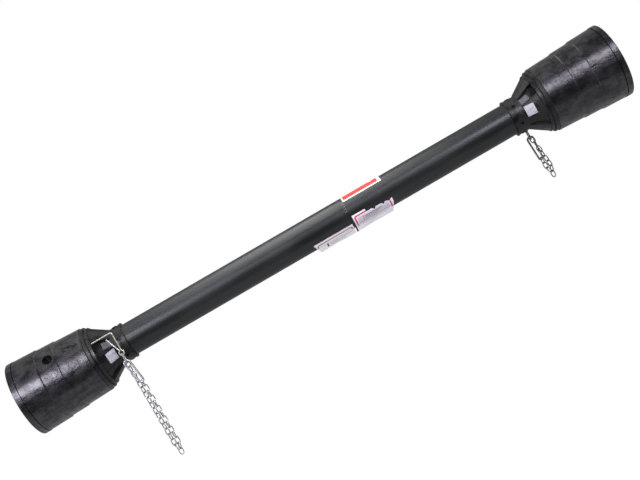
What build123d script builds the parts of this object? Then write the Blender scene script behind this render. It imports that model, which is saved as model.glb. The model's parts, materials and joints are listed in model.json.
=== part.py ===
from build123d import *
from math import asin, cos, radians, sin, sqrt
import os

# PTO drive shaft in its guard. Lengths in millimetres, angles in degrees.
# X runs along the shaft from the tractor end's splined face to the implement end's, Z is up, and the
# photographed side faces -Y. Every "station" is a distance from an end's splined face, inwards.

# Whole shaft
cross_to_cross = 1210.0
cross_station = 95.0
guard_joint_x = 766.5
guard_joint_gap = 1.0

# Clearances
running_gap = 0.3
pin_gap = 0.05
seat_gap = 0.3
slide_gap = 0.35

# Six-spline bore, one and three eighths of an inch
spline_count = 6
spline_minor_radius = 14.9
spline_major_radius = 17.45
spline_slot_width = 8.7

# Universal joint
ear_inner = 25.0
ear_outer = 42.0
ear_width = 44.0
ear_rounding_radius = 47.5
throat_depth = 44.0
yoke_web = 14.0
trunnion_radius = 8.25
trunnion_tip = 34.6
cross_body_half = 16.5
cross_body_thickness = 27.0
cross_shoulder_radius = 11.5
cross_shoulder = 18.2
cup_radius = 13.5
cup_inner_end = 20.8
cup_outer_end = 37.3
cup_floor = 2.4
circlip_thickness = 1.5
circlip_depth = 0.9
circlip_band = 2.3
circlip_opening = 7.0
seal_radius = 12.4
nipple_radius = 3.0
nipple_length = 8.0

# End yoke and its push pin
end_hub_radius = 29.0
pin_station = 22.0
pin_radius = 6.0
pin_waist_radius = 3.4
pin_offset = 21.4
pin_land = 11.5
pin_waist_length = 16.0
pin_head = 16.0
boss_radius = 9.6
boss_long_side = 27.0
boss_short_side = 23.0
spring_plug_thickness = 2.5
spring_wire_radius = 0.6
spring_radius = 4.2
spring_turns = 3

# Tube yoke, with the groove that carries the guard
hub_radius = 35.0
hub_end_station = 211.0
groove_station = 192.5
groove_width = 9.0
groove_radius = 31.0
pocket_depth = 50.0
tube_pin_station = 173.0
tube_pin_radius = 5.0
tube_pin_wall = 1.6
tube_pin_slit = 1.2

# Profile tubes: rounded triangles, sized by their flats and their corners
profile_flat = 22.0
profile_corner = 28.2
profile_wall = 3.4
profile_seat_gap = 0.1
profile_start_gap = 0.5
outer_profile_end_gap = 18.0
inner_profile_end_gap = 36.0

# Guard tubes
guard_tube_radius = 35.0
guard_tube_wall = 2.8
inner_guard_wall = 2.4
inner_guard_end_gap = 30.5

# Guard bell: three stepped, tapering sections and a rim band
bell_overhang = 12.0
bell_wall = 3.0
rim_radius = 82.8
rim_length = 13.0
rim_groove = 1.5
rim_edge = 1.0
first_radii = (82.0, 80.2)
first_end = 53.5
second_radii = (78.4, 77.0)
second_end = 96.0
third_radii = (75.4, 72.8)
third_end = 158.0
step_length = 2.5
bell_hole_radius = 11.0
bell_hole_station = 81.0
bell_hole_angle = 39.0

# Guard collar: spigot in the bell, flange, shoulder, ribbed cone and tube socket
collar_wall = 3.0
spigot_length = 12.0
flange_step = 2.3
flange_length = 8.0
shoulder_step = 4.5
shoulder_length = 8.0
cone_end = 210.0
cone_floor_depth = 8.0
cone_floor_middle = 47.0
cone_middle_share = 0.4
cone_panel_depth = 3.5
cone_panel_end = 39.4
rib_rise = 1.6
rib_width = 2.2
panel_count = 5
panel_sweep = 44.0
socket_radius = 39.0
socket_lip_radius = 40.2
socket_lip_length = 3.0
socket_end = 238.0
tube_stop_station = 216.0
tube_stop_length = 3.0
tube_stop_radius = 33.0
socket_fit_gap = 0.15
socket_hole_count = 6
socket_hole_radius = 3.0
socket_hole_station = 224.0
socket_ring_radius = 5.2
socket_ring_rise = 0.9

# Windows in the collar and the nylon bearing ring whose lugs fill them
window_station = 198.0
window_length = 20.0
window_width = 24.0
pocket_window_width = 15.0
window_sectors = (0, 2, 3)
window_gap = 0.4
ring_start = 186.0
ring_end = 206.0
ring_slit = 4.0
lug_recess = 0.2

# Where each collar is turned to, from the photographed side upwards
tractor_collar_angle = -15.0
implement_collar_angle = -6.0
socket_hole_turn = 34.6

# Wire clip on the collar, in a plane beside the shaft
clip_wire_radius = 1.3
clip_pivot_depth = 5.0
tractor_clip_angle = 31.0
implement_clip_angle = 169.0
tractor_clip_station = 220.0
implement_clip_station = 208.0
clip_tail_length = 5.0
clip_hole_gap = 0.2
clip_drop = 52.0
clip_corner_bend = 4.0
clip_eye_bend = 2.4
clip_eye_half_width = 5.0
clip_neck_half_width = 1.7
clip_eye_height = 10.0
clip_tip_back = 15.0
clip_tip_rise = 44.0

# Connector link, snap hook and chain
connector_wire_radius = 1.3
connector_arc_radius = 8.0
connector_straight = 6.0
link_gap = 0.15
link_wire_radius = 1.2
link_length = 17.4
link_width = 11.5
hook_wire_radius = 2.1
hook_head_radius = 6.6
hook_tail_radius = 4.2
hook_side_shift = 3.9
chain_side_shift = 3.7
tractor_hook_lean = 8.0
implement_hook_lean = 0.5
tractor_knee = 9.5
implement_knee = 0.5
back_start = -1.0
strand_spacing = 9.5
out_knee_shift = 1.0
back_knee_shift = 3.8
foot_half_spacing = 1.8
knee_links = 1
out_first_turn = -20.0
back_first_turn = -75.0
tractor_last_turn = -35.0
implement_last_turn = -20.0
connector_rest_gap = 1.2
hook_rest_gap = 0.8
foot_rest_gap = 0.9
hook_pitches = 4
nose_angle = 5.0
gate_pivot_share = 0.42
gate_leg_gap = 3.0
gate_wire_radius = 1.4
gate_barrel_radius = 2.0
gate_barrel_length = 3.6
gate_pin_radius = 0.9
gate_cheek_thickness = 0.9
tractor_outgoing_links = 13
implement_outgoing_links = 3
tractor_upper_links = 6
implement_upper_links = 1

# Sizes that follow
shaft_length = cross_to_cross + 2 * cross_station
flange_radius = third_radii[1] - flange_step
shoulder_radius = flange_radius - shoulder_step
cone_floor_start = shoulder_radius - cone_floor_depth
cone_panel_start = shoulder_radius - cone_panel_depth
clip_pivot_radius = shoulder_radius - clip_pivot_depth
cone_length = cone_end - (third_end + flange_length + shoulder_length)
inner_profile_flat = profile_flat - profile_wall - slide_gap
inner_profile_corner = profile_corner - profile_wall - slide_gap
link_arc = link_width / 2 - link_wire_radius
link_straight = link_length - link_width
link_reach = link_length - 2 * link_wire_radius
link_pitch = link_reach - 2 * link_wire_radius - link_gap


class ShaftEnd:
    """One end of the shaft. Angles start at the photographed side and go upwards."""

    def __init__(self, name, face_x, inward):
        self.name = name
        self.face_x = face_x
        self.inward = inward
        self.axis = Axis((face_x, 0, 0), (inward, 0, 0))

    def x(self, station):
        return self.face_x + self.inward * station

    def direction(self, angle):
        return Vector(0, -cos(radians(angle)), sin(radians(angle)))

    def meridian(self, angle):
        """Sketch plane through the axis: x is the station, y the radius."""
        along = Vector(self.inward, 0, 0)
        return Plane(origin=(self.face_x, 0, 0), x_dir=along, z_dir=along.cross(self.direction(angle)))

    def across(self, station):
        """Sketch plane square to the axis, with its normal pointing inwards along the shaft."""
        return Plane(origin=(self.x(station), 0, 0), x_dir=(0, -1, 0), z_dir=(self.inward, 0, 0))

    def turn(self, angle):
        """An angle as the across plane counts it."""
        return -self.inward * angle

    def radial(self, station, angle, radius):
        """Sketch plane facing outwards at a radius."""
        outwards = self.direction(angle)
        centre = Vector(self.x(station), 0, 0) + outwards * radius
        return Plane(origin=centre, x_dir=(self.inward, 0, 0), z_dir=outwards)

    def fork(self, towards_hub, trunnion):
        """Sketch plane of a fork: origin in the cross, x to the fork's hub, y along its trunnions."""
        to_hub = Vector(self.inward * towards_hub, 0, 0)
        facing = to_hub.cross(Vector(*trunnion))
        return Plane(origin=(self.x(cross_station), 0, 0), x_dir=to_hub, z_dir=facing)


tractor_end = ShaftEnd("tractor", 0, 1)
implement_end = ShaftEnd("implement", shaft_length, -1)
ends = [tractor_end, implement_end]
tube_yoke_trunnion = (0, 0, 1)
end_yoke_trunnion = (0, 1, 0)
pieces = {}


def keep(name, part):
    part.label = name
    pieces[name] = part


def rounded_triangle(flat, corner):
    """Three-sided profile in the open sketch, by its inner radius to a flat and outer to a corner."""
    profile = RegularPolygon(2 * flat, 3, rotation=90)
    fillet(profile.vertices(), 2 * flat - corner)


def build_bell(end, with_hole):
    """Stepped plastic bell over the universal joint."""
    spigot_radius = third_radii[1] - bell_wall
    outline = [
        (-bell_overhang, rim_radius - rim_edge),
        (rim_edge - bell_overhang, rim_radius),
        (rim_length - bell_overhang, rim_radius),
        (rim_length - bell_overhang, first_radii[0] - rim_groove),
        (rim_length - bell_overhang + rim_groove, first_radii[0]),
        (first_end, first_radii[1]),
        (first_end + step_length, second_radii[0]),
        (second_end, second_radii[1]),
        (second_end + step_length, third_radii[0]),
        (third_end - rim_edge, third_radii[1]),
        (third_end, third_radii[1] - rim_edge),
        (third_end, spigot_radius - seat_gap / 2),
        (third_end - spigot_length, spigot_radius - seat_gap / 2),
        (second_end + step_length, third_radii[0] - bell_wall),
        (second_end, second_radii[1] - bell_wall),
        (first_end + step_length, second_radii[0] - bell_wall),
        (first_end, first_radii[1] - bell_wall),
        (-bell_overhang, first_radii[0] - bell_wall),
    ]
    with BuildPart() as bell:
        with BuildSketch(end.meridian(90)):
            with BuildLine():
                Polyline(*outline, close=True)
            make_face()
        revolve(axis=end.axis)
        if with_hole:
            with BuildSketch(end.radial(bell_hole_station, bell_hole_angle, hub_radius)):
                Circle(bell_hole_radius)
            extrude(amount=rim_radius, mode=Mode.SUBTRACT)
    return bell.part


def cone_points(offset):
    """Start, middle and end of the collar's concave cone, moved outwards by the offset."""
    start = third_end + flange_length + shoulder_length
    return [
        (start, cone_floor_start + offset),
        (start + cone_middle_share * cone_length, cone_floor_middle + offset),
        (cone_end, socket_radius + offset),
    ]


def radial_bars(end, station, first_angle, width, length, sectors=range(panel_count)):
    """Bars that run straight out from the axis, one in each of the collar's named sectors."""
    with BuildPart() as bars:
        with BuildSketch(end.across(station)):
            for sector in sectors:
                angle = first_angle + 360 / panel_count * sector
                with PolarLocations(0, 1, start_angle=end.turn(angle)):
                    Rectangle(flange_radius + collar_wall, width, align=(Align.MIN, Align.CENTER))
        extrude(amount=length)
    return bars.part


def pocket_angle(collar_angle):
    return collar_angle + 180 / panel_count





def build_ribs(end, collar_angle):
    """Fins on the cone, one along each edge of each panel."""
    start, _, finish = cone_points(0)
    fins = [
        radial_bars(end, start[0], collar_angle + side * panel_sweep / 2, rib_width, cone_length)
        for side in (-1, 1)
    ]
    with BuildPart() as ribs:
        with BuildSketch(end.meridian(90)):
            with BuildLine():
                ThreePointArc(*cone_points(-collar_wall / 2))
                Polyline(
                    (finish[0], finish[1] - collar_wall / 2),
                    (finish[0], cone_panel_end + rib_rise / 2),
                    (start[0], cone_panel_start + rib_rise),
                    (start[0], start[1] - collar_wall / 2),
                )
            make_face()
        revolve(axis=end.axis)
        add(fins, mode=Mode.INTERSECT)
    return ribs.part


def build_collar(end, collar_angle, clip_angle):
    """Moulded collar: bell spigot, flange, ribbed cone with windows, and the guard tube's socket."""
    start, middle, finish = cone_points(0)
    inner_start, inner_middle, inner_finish = cone_points(-collar_wall)
    spigot_outer = third_radii[1] - bell_wall - seat_gap
    spigot_inner = spigot_outer - collar_wall
    shoulder_start = third_end + flange_length
    tube_stop_start = tube_stop_station - tube_stop_length
    tube_seat = guard_tube_radius + socket_fit_gap
    ribs = build_ribs(end, collar_angle)
    window_start = window_station - window_length / 2
    between = pocket_angle(collar_angle)
    windows = radial_bars(
        end, window_start, collar_angle, window_width, window_length, window_sectors
    )
    pockets = radial_bars(
        end, window_start, between, pocket_window_width, window_length, window_sectors
    )
    with BuildPart() as collar:
        with BuildSketch(end.meridian(90)):
            with BuildLine():
                Polyline(
                    (third_end - spigot_length, spigot_inner),
                    (third_end - spigot_length, spigot_outer),
                    (third_end, spigot_outer),
                    (third_end, flange_radius),
                    (shoulder_start - rim_edge, flange_radius),
                    (shoulder_start, flange_radius - rim_edge),
                    (shoulder_start, shoulder_radius),
                    (start[0] - rim_edge, shoulder_radius),
                    (start[0], shoulder_radius - rim_edge),
                    start,
                )
                ThreePointArc(start, middle, finish)
                Polyline(
                    finish,
                    (socket_end - socket_lip_length, socket_radius),
                    (socket_end - socket_lip_length, socket_lip_radius),
                    (socket_end, socket_lip_radius),
                    (socket_end, tube_seat),
                    (tube_stop_station, tube_seat),
                    (tube_stop_station, tube_stop_radius),
                    (tube_stop_start, tube_stop_radius),
                    (tube_stop_start, inner_finish[1]),
                    inner_finish,
                )
                ThreePointArc(inner_finish, inner_middle, inner_start)
                Polyline(
                    inner_start,
                    (shoulder_start, inner_start[1] + collar_wall),
                    (third_end, spigot_inner),
                    (third_end - spigot_length, spigot_inner),
                )
            make_face()
        revolve(axis=end.axis)
        for k in range(panel_count):
            edge_angle = collar_angle + 360 / panel_count * k + end.inward * panel_sweep / 2
            with BuildSketch(end.meridian(edge_angle)):
                with BuildLine():
                    ThreePointArc(*cone_points(-collar_wall / 2))
                    Polyline(
                        (finish[0], finish[1] - collar_wall / 2),
                        (finish[0], cone_panel_end),
                        (start[0], cone_panel_start),
                        (start[0], start[1] - collar_wall / 2),
                    )
                make_face()
            revolve(axis=end.axis, revolution_arc=panel_sweep)
        add(ribs)
        add(windows, mode=Mode.SUBTRACT)
        add(pockets, mode=Mode.SUBTRACT)
        for k in range(socket_hole_count):
            angle = collar_angle + socket_hole_turn + 360 / socket_hole_count * k
            with BuildSketch(end.radial(socket_hole_station, angle, socket_radius - rim_edge)):
                Circle(socket_ring_radius)
            extrude(amount=rim_edge + socket_ring_rise)
            with BuildSketch(end.radial(socket_hole_station, angle, guard_tube_radius - rim_edge)):
                Circle(socket_hole_radius)
            depth = socket_radius - guard_tube_radius + socket_ring_rise + 2 * rim_edge
            extrude(amount=depth, mode=Mode.SUBTRACT)
        pivot = end.direction(clip_angle) * clip_pivot_radius
        hole_centre = (end.x(shoulder_start - 1), pivot.Y, pivot.Z)
        with BuildSketch(Plane(origin=hole_centre, z_dir=(end.inward, 0, 0))):
            Circle(clip_wire_radius + clip_hole_gap)
        extrude(amount=shoulder_length + 2, mode=Mode.SUBTRACT)
    return collar.part


def build_lugs(end, first_angle, width, top_line):
    """Nylon lugs that fill the collar's windows, from the hub out to the given surface."""
    window_start = window_station - window_length / 2 + window_gap
    window_finish = window_station + window_length / 2 - window_gap
    length = window_finish - window_start
    bars = radial_bars(
        end, window_start, first_angle, width - 2 * window_gap, length, window_sectors
    )
    with BuildPart() as lugs:
        with BuildSketch(end.meridian(90)):
            with BuildLine():
                Polyline(
                    (window_start, hub_radius + 2 * running_gap),
                    (window_start, top_line(window_start)),
                    (window_finish, top_line(window_finish)),
                    (window_finish, hub_radius + 2 * running_gap),
                    close=True,
                )
            make_face()
        revolve(axis=end.axis)
        add(bars, mode=Mode.INTERSECT)
    return lugs.part


def panel_line(station):
    share = (cone_end - station) / cone_length
    return cone_panel_end + (cone_panel_start - cone_panel_end) * share - lug_recess


def pocket_line(station):
    start, middle, finish = cone_points(-lug_recess)
    if station < middle[0]:
        share = (middle[0] - station) / (middle[0] - start[0])
        return middle[1] + (start[1] - middle[1]) * share - collar_wall / 2
    share = (finish[0] - station) / (finish[0] - middle[0])
    return finish[1] + (middle[1] - finish[1]) * share - collar_wall / 2


def build_bearing_ring(end, collar_angle):
    """Split nylon ring: a tongue in the yoke's groove and lugs in the collar's windows."""
    inner_start, inner_middle, inner_finish = cone_points(-collar_wall - running_gap)
    panel_lugs = build_lugs(end, collar_angle, window_width, panel_line)
    pocket_lugs = build_lugs(end, pocket_angle(collar_angle), pocket_window_width, pocket_line)
    slit_angle = collar_angle + panel_sweep / 2
    slit_length = window_length + 2 * collar_wall
    slit = radial_bars(end, ring_start - rim_edge, slit_angle, ring_slit, slit_length, (0,))
    tongue_start = groove_station - groove_width / 2 + running_gap
    tongue_end = groove_station + groove_width / 2 - running_gap
    with BuildPart() as ring:
        with BuildSketch(end.meridian(90)):
            with BuildLine():
                ThreePointArc(inner_start, inner_middle, inner_finish)
                Polyline(
                    inner_finish,
                    (cone_end, hub_radius + running_gap),
                    (inner_start[0], hub_radius + running_gap),
                    inner_start,
                )
            make_face()
            with Locations(((ring_start + ring_end) / 2, 0)):
                Rectangle(ring_end - ring_start, 2 * flange_radius, mode=Mode.INTERSECT)
            with Locations(((tongue_start + tongue_end) / 2, hub_radius)):
                Rectangle(tongue_end - tongue_start, 2 * (hub_radius - groove_radius - running_gap))
        revolve(axis=end.axis)
        add(panel_lugs)
        add(pocket_lugs)
        add(slit, mode=Mode.SUBTRACT)
    return ring.part


def build_tube(start_x, end_x, outer_radius, wall):
    """Plain round tube along the shaft."""
    with BuildPart() as tube:
        with BuildSketch(Plane.YZ.offset(start_x)):
            Circle(outer_radius)
            Circle(outer_radius - wall, mode=Mode.SUBTRACT)
        extrude(amount=end_x - start_x)
    return tube.part


def build_profile_tube(start_x, end_x, flat, corner, pin_x):
    """Rounded-triangle drive tube with the cross hole for its yoke's pin."""
    with BuildPart() as tube:
        with BuildSketch(Plane.YZ.offset(start_x)):
            rounded_triangle(flat, corner)
        extrude(amount=end_x - start_x)
        with BuildSketch(Plane.YZ.offset(start_x)):
            rounded_triangle(flat - profile_wall, corner - profile_wall)
        extrude(amount=end_x - start_x, mode=Mode.SUBTRACT)
        with BuildSketch(Plane(origin=(pin_x, 0, 0), z_dir=(0, 0, 1))):
            Circle(tube_pin_radius)
        extrude(amount=corner, both=True, mode=Mode.SUBTRACT)
    return tube.part


def build_fork(plane, radius, hub_length):
    """Forged fork: two round-ended ears with bearing bores, a web and a round hub."""
    web_end = throat_depth + yoke_web
    taper_end = web_end + yoke_web / 2
    ear_half = ear_width / 2
    along_trunnion = Plane(origin=plane.origin, x_dir=plane.x_dir, z_dir=plane.y_dir)
    hub_plane = Plane(origin=plane.origin, z_dir=plane.x_dir).offset(web_end - yoke_web / 2)
    groove_middle = cup_outer_end + 2 * pin_gap + circlip_thickness / 2
    with BuildPart() as fork:
        with BuildSketch(plane):
            with Locations(((taper_end - ear_half) / 2, 0)):
                Rectangle(taper_end + ear_half, 2 * ear_outer)
            with Locations((throat_depth - ear_inner, 0)):
                Circle(ear_inner, mode=Mode.SUBTRACT)
                Rectangle(2 * ear_outer, 2 * ear_inner, align=(Align.MAX, Align.CENTER), mode=Mode.SUBTRACT)
        extrude(amount=ear_half, both=True)
        with BuildSketch(along_trunnion):
            Circle(ear_half)
            Rectangle(taper_end, ear_width, align=(Align.MIN, Align.CENTER))
        extrude(amount=ear_outer, both=True, mode=Mode.INTERSECT)
        with BuildSketch(plane):
            with BuildLine():
                Polyline(
                    (-ear_half, 0),
                    (-ear_half, ear_rounding_radius),
                    (throat_depth, ear_rounding_radius),
                    (taper_end, radius),
                    (taper_end, 0),
                    close=True,
                )
            make_face()
        revolve(axis=Axis(plane.origin, plane.x_dir), mode=Mode.INTERSECT)
        with BuildSketch(hub_plane):
            Circle(radius)
        extrude(amount=hub_length - web_end + yoke_web / 2)
        with BuildSketch(along_trunnion):
            Circle(cup_radius)
        extrude(amount=ear_outer + rim_edge, both=True, mode=Mode.SUBTRACT)
        with BuildSketch(along_trunnion.offset(groove_middle), along_trunnion.offset(-groove_middle)):
            Circle(cup_radius + circlip_depth)
        extrude(amount=circlip_thickness / 2 + pin_gap, both=True, mode=Mode.SUBTRACT)
    return fork.part





def build_end_yoke(end):
    """Fork with the six-spline bore and the cross hole of its push pin."""
    fork = build_fork(end.fork(-1, end_yoke_trunnion), end_hub_radius, cross_station)
    pin_plane = Plane(origin=(end.x(pin_station), 0, -pin_offset), z_dir=(0, 1, 0))
    with BuildPart() as yoke:
        add(fork)
        with BuildSketch(pin_plane.offset(-boss_long_side)):
            Circle(boss_radius)
        extrude(amount=boss_long_side + boss_short_side)
        with BuildSketch(pin_plane.offset(-boss_long_side)):
            Circle(pin_radius + pin_gap)
        extrude(amount=boss_long_side + end_hub_radius, mode=Mode.SUBTRACT)
        with BuildSketch(end.across(0)):
            with PolarLocations(0, spline_count // 2, angular_range=180):
                Rectangle(3 * spline_major_radius, spline_slot_width)
            Circle(spline_major_radius, mode=Mode.INTERSECT)
            Circle(spline_minor_radius)
        extrude(amount=cross_station, mode=Mode.SUBTRACT)
    return yoke.part


def build_push_pin(end):
    """Lock pin with a waist that clears the splines when it is pushed in."""
    plane = Plane(origin=(end.x(pin_station), 0, -pin_offset), x_dir=(0, 1, 0), z_dir=(1, 0, 0))
    land_start = 0.5 - pin_land
    waist_end = 0.5 + pin_waist_length
    with BuildPart() as pin:
        with BuildSketch(plane):
            with BuildLine():
                Polyline(
                    (land_start, 0),
                    (land_start, pin_radius),
                    (0.5, pin_radius),
                    (0.5 + pin_radius - pin_waist_radius, pin_waist_radius),
                    (waist_end - pin_radius + pin_waist_radius, pin_waist_radius),
                    (waist_end, pin_radius),
                    (waist_end + pin_head - rim_edge, pin_radius),
                    (waist_end + pin_head, pin_radius - rim_edge),
                    (waist_end + pin_head, 0),
                    close=True,
                )
            make_face()
        revolve(axis=Axis(plane.origin, (0, 1, 0)))
    return pin.part


def build_pin_spring(end):
    """Coil spring between the push pin and its plug."""
    start = spring_plug_thickness - boss_long_side + spring_wire_radius
    length = 0.5 - pin_land - spring_wire_radius - start
    origin = Vector(end.x(pin_station), start, -pin_offset)
    with BuildPart() as spring:
        with BuildLine() as coil:
            Helix(length / spring_turns, length, spring_radius, center=origin, direction=(0, 1, 0))
        with BuildSketch(Plane(origin=coil.line @ 0, z_dir=coil.line % 0)):
            RegularPolygon(spring_wire_radius, 6)
        sweep(is_frenet=True)
    return spring.part


def build_spring_plug(end):
    """Disc that closes the push pin's hole."""
    with BuildPart() as plug:
        with BuildSketch(Plane(origin=(end.x(pin_station), -boss_long_side, -pin_offset), z_dir=(0, 1, 0))):
            Circle(pin_radius + pin_gap)
        extrude(amount=spring_plug_thickness)
    return plug.part


def build_tube_yoke(end, flat, corner):
    """Fork whose hub has the guard's groove and the pocket of its profile tube."""
    fork = build_fork(end.fork(1, tube_yoke_trunnion), hub_radius, hub_end_station - cross_station)
    with BuildPart() as yoke:
        add(fork)
        with BuildSketch(end.across(groove_station - groove_width / 2)):
            Circle(hub_radius + rim_edge)
            Circle(groove_radius, mode=Mode.SUBTRACT)
        extrude(amount=groove_width, mode=Mode.SUBTRACT)
        with BuildSketch(Plane.YZ.offset(end.x(hub_end_station))):
            rounded_triangle(flat + profile_seat_gap, corner + profile_seat_gap)
        extrude(amount=-end.inward * pocket_depth, mode=Mode.SUBTRACT)
        with BuildSketch(Plane(origin=(end.x(tube_pin_station), 0, 0), z_dir=(0, 0, 1))):
            Circle(tube_pin_radius)
        extrude(amount=hub_radius, both=True, mode=Mode.SUBTRACT)
    return yoke.part


def build_tube_pin(end):
    """Slit spring pin through the yoke's hub and its profile tube."""
    half = sqrt(hub_radius**2 - tube_pin_radius**2) - rim_edge
    with BuildPart() as pin:
        with BuildSketch(Plane(origin=(end.x(tube_pin_station), 0, 0), z_dir=(0, 0, 1))):
            Circle(tube_pin_radius)
            Circle(tube_pin_radius - tube_pin_wall, mode=Mode.SUBTRACT)
            Rectangle(tube_pin_radius, tube_pin_slit, align=(Align.MIN, Align.CENTER), mode=Mode.SUBTRACT)
        extrude(amount=half, both=True)
    return pin.part


def nipple_plane(end):
    """Seat of the grease nipple, on a cut corner of the cross."""
    corner = Vector(0, -1, 1).normalized()
    seat = sqrt(2) * (cross_body_half - cross_body_half / 4)
    return Plane(origin=Vector(end.x(cross_station), 0, 0) + corner * seat, z_dir=corner)


def build_cross(end):
    """Forged cross with four trunnions."""
    centre = (end.x(cross_station), 0, 0)
    with BuildPart() as cross:
        with BuildSketch(Plane(origin=centre, z_dir=(1, 0, 0))):
            body = Rectangle(2 * cross_body_half, 2 * cross_body_half)
            chamfer(body.vertices(), cross_body_half / 2)
        extrude(amount=cross_body_thickness / 2, both=True)
        for direction in (tube_yoke_trunnion, end_yoke_trunnion):
            with BuildSketch(Plane(origin=centre, z_dir=direction)):
                Circle(cross_shoulder_radius)
            extrude(amount=cross_shoulder, both=True)
            with BuildSketch(Plane(origin=centre, z_dir=direction)):
                Circle(trunnion_radius)
            extrude(amount=trunnion_tip, both=True)
        with BuildSketch(nipple_plane(end)):
            Circle(nipple_radius + pin_gap)
        extrude(amount=nipple_length, mode=Mode.SUBTRACT)
    return cross.part


def build_cross_seals(end):
    """Rubber ring at the root of each trunnion."""
    centre = (end.x(cross_station), 0, 0)
    with BuildPart() as seals:
        for direction in (tube_yoke_trunnion, end_yoke_trunnion):
            for side in (-1, 1):
                with BuildSketch(Plane(origin=centre, z_dir=direction).offset(side * cross_shoulder)):
                    Circle(seal_radius)
                    Circle(trunnion_radius, mode=Mode.SUBTRACT)
                extrude(amount=side * (cup_inner_end - cross_shoulder - running_gap))
    return seals.part


def build_nipple(end):
    """Grease nipple on a corner of the cross."""
    plane = nipple_plane(end)
    with BuildPart() as nipple:
        with BuildSketch(plane):
            RegularPolygon(nipple_radius, 6)
        extrude(amount=nipple_length / 2)
        with BuildSketch(plane.offset(nipple_length / 2)):
            Circle(nipple_radius / 2)
        extrude(amount=nipple_length / 2)
    return nipple.part


def build_cups(end, trunnion):
    """Two bearing cups, each with its needles, pressed into one yoke's ears."""
    centre = (end.x(cross_station), 0, 0)
    with BuildPart() as cups:
        for side in (-1, 1):
            plane = Plane(origin=centre, z_dir=trunnion)
            with BuildSketch(plane.offset(side * cup_inner_end)):
                Circle(cup_radius)
            extrude(amount=side * (cup_outer_end - cup_inner_end))
            with BuildSketch(plane.offset(side * cup_inner_end)):
                Circle(trunnion_radius + pin_gap)
            extrude(amount=side * (cup_outer_end - cup_inner_end - cup_floor), mode=Mode.SUBTRACT)
    return cups.part


def build_circlips(end, trunnion):
    """Two open rings that hold the cups in one yoke's ears."""
    outer = cup_radius + circlip_depth - pin_gap
    with BuildPart() as circlips:
        for side in (-1, 1):
            plane = Plane(origin=(end.x(cross_station), 0, 0), x_dir=(1, 0, 0), z_dir=trunnion)
            with BuildSketch(plane.offset(side * (cup_outer_end + 2 * pin_gap))):
                Circle(outer)
                Circle(outer - circlip_band, mode=Mode.SUBTRACT)
                Rectangle(outer, circlip_opening, align=(Align.MIN, Align.CENTER), mode=Mode.SUBTRACT)
            extrude(amount=side * circlip_thickness)
    return circlips.part


class ChainPlace:
    """Where a safety chain hangs. Offsets run towards the middle, outwards from the shaft and up."""

    def __init__(self, end, clip_angle, station, hook_lean, knee, last_turn, outgoing, upper):
        self.end = end
        self.clip_angle = clip_angle
        self.pivot = end.direction(clip_angle) * clip_pivot_radius
        self.side = 1 if self.pivot.Y > 0 else -1
        self.eye_x = end.x(station)
        self.hook_lean = hook_lean
        self.knee = knee
        self.last_turn = last_turn
        self.outgoing = outgoing
        self.upper = upper
        self.eye_bottom = self.pivot.Z - clip_drop
        self.connector_top = self.eye_bottom + clip_wire_radius + connector_wire_radius + link_gap
        self.arc_centre = self.connector_top - connector_arc_radius - connector_straight

    def point(self, inward, outward, z):
        return Vector(self.eye_x + self.end.inward * inward, self.pivot.Y + self.side * outward, z)

    def facing(self, turn):
        """Level direction at an angle that starts inwards along the shaft and turns outwards."""
        return self.point(cos(radians(turn)), sin(radians(turn)), 0) - self.point(0, 0, 0)

    def rest_height(self, wire_radius, shift):
        """Height of a wire that lies in the connector's lower bend, beside its middle."""
        reach = connector_arc_radius - connector_wire_radius - wire_radius - link_gap
        return self.arc_centre - sqrt(reach**2 - shift**2)

    def return_top(self):
        """Top bend of the strand that comes back to the connector."""
        height = self.rest_height(link_wire_radius, chain_side_shift) + connector_rest_gap
        return self.point(back_start, -chain_side_shift, height)

    def hook_head(self):
        top = self.rest_height(hook_wire_radius, hook_side_shift)
        return self.point(0, hook_side_shift, top - hook_head_radius)

    def outgoing_top(self):
        """Top bend of the strand that hangs from the snap hook."""
        height = self.return_top().Z - hook_pitches * link_pitch
        return self.point(self.hook_lean, hook_side_shift, height)

    def hook_tail(self):
        rest = hook_wire_radius + link_wire_radius + hook_rest_gap
        return self.outgoing_top() + Vector(0, 0, hook_tail_radius - rest)


def build_link(wire_radius, arc_radius, straight):
    """Welded link, lying along X in the XY plane, bent in short flats as fine as its wire shows."""
    flats = 4
    corner_radius = arc_radius / cos(radians(90 / flats))
    corners = []
    for k in range(flats):
        angle = radians(180 / flats * (k + 0.5))
        corners.append((straight / 2 + corner_radius * sin(angle), corner_radius * cos(angle)))
    with BuildPart() as link:
        with BuildLine():
            Polyline((0, arc_radius), *corners, (0, -arc_radius))
        with BuildSketch(Plane(origin=(0, arc_radius, 0), z_dir=(1, 0, 0))):
            RegularPolygon(wire_radius, 8, major_radius=False, rotation=22.5)
        sweep(transition=Transition.RIGHT)
        mirror(about=Plane.YZ)
    return link.part


def strand(place, start, knee_offsets, foot_inward, count, first_turn):
    """Link places from a strand's top down to its knee, and on towards the foot; and the foot."""
    straight_links = count - knee_links
    above = start - Vector(0, 0, straight_links * link_pitch)
    knee = place.point(*knee_offsets, above.Z)
    down = (knee - start).normalized()
    knee = start + down * (straight_links * link_pitch)
    foot_outward = (out_knee_shift - back_knee_shift) / 2
    foot = place.point(foot_inward, foot_outward, knee.Z - knee_links * link_pitch)
    inwards = (foot - knee).normalized()
    places = []
    for k in range(count):
        if k < straight_links:
            top, direction = start + down * (k * link_pitch), down
        else:
            top, direction = knee + inwards * ((k - straight_links) * link_pitch), inwards
        turn = first_turn + (place.last_turn - first_turn) * k / (count - 1) + 90 * k
        across = direction.cross(place.facing(turn))
        places.append(
            Plane(origin=top + direction * (link_reach / 2), x_dir=direction, z_dir=across.cross(direction))
        )
    foot = knee + inwards * ((knee_links - 1) * link_pitch + link_reach)
    return places, foot


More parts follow.
